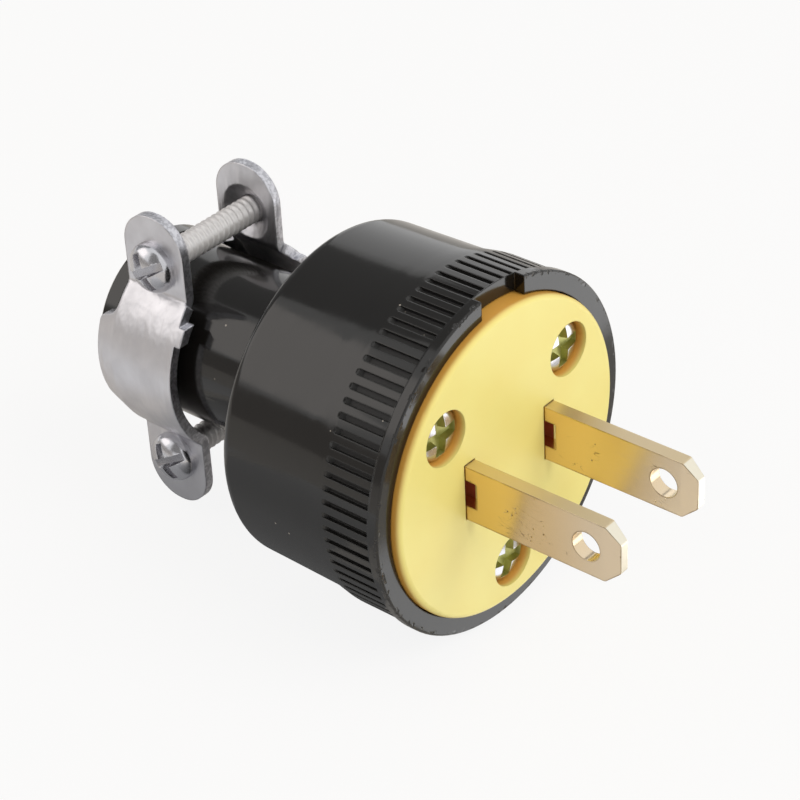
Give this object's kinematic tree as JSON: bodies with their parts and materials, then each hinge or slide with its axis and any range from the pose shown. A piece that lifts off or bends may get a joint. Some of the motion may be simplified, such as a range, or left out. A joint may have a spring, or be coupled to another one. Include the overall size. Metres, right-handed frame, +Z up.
{
  "type": "electrical plug",
  "caption": "Rewireable flat-blade mains plug: glossy black shell with a ribbed grip, yellow screwed face, brass blades and a screwed steel cord clamp on its neck.",
  "frame": {"origin": "the middle of the face, half way between the blades, where they leave it", "axes": "-Y along the blades, out of the face; +Y along the neck, the way the cord leaves; X from blade to blade; +Z up, towards the rim's notch"},
  "size_m": [0.0386, 0.0666, 0.0385],
  "materials": {
    "black_moulding": "glossy moulded thermoset",
    "yellow_moulding": "satin moulded",
    "insulating_board": "matte pressed board",
    "blade_brass": "rolled, lightly scratched",
    "screw_steel": "bright zinc plate",
    "clamp_steel": "zinc-plated stamping"
  },
  "bodies": {
    "root": {"body_shell": "black_moulding", "face_plate": "yellow_moulding", "blade_retainer": "insulating_board", "blade_left": "blade_brass", "blade_right": "blade_brass", "terminal_screw_left": "screw_steel", "terminal_screw_right": "screw_steel", "face_screw_upper_left": "screw_steel", "face_screw_upper_right": "screw_steel", "face_screw_lower": "screw_steel", "clamp_plain_half": "clamp_steel", "clamp_tapped_half": "clamp_steel", "clamp_screw_upper": "screw_steel", "clamp_screw_lower": "screw_steel"}
  },
  "joints": []
}
